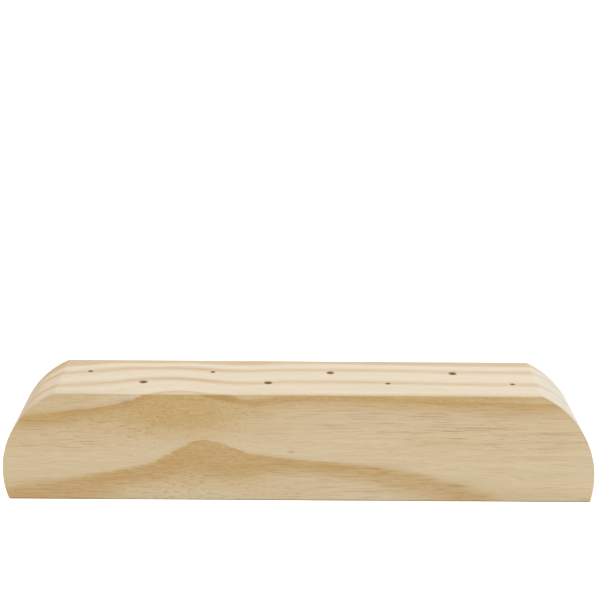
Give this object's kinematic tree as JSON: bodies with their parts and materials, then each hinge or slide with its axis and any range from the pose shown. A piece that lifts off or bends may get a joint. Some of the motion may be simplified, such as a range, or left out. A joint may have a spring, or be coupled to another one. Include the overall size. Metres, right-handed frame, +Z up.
{
  "type": "tool holder block",
  "caption": "Long solid pine block with rounded ends and two staggered rows of blind holes in its flat top, which hold slim hobby tools upright.",
  "frame": {"origin": "centre of the underside, on the surface the block stands on", "axes": "+X along the block's length, +Y from its front face to its back face, +Z up out of the drilled top"},
  "size_m": [0.3, 0.05, 0.0575],
  "materials": {
    "pine": "bare planed pine, finely sanded, satin"
  },
  "bodies": {
    "root": {"wooden_block": "pine"}
  },
  "joints": []
}
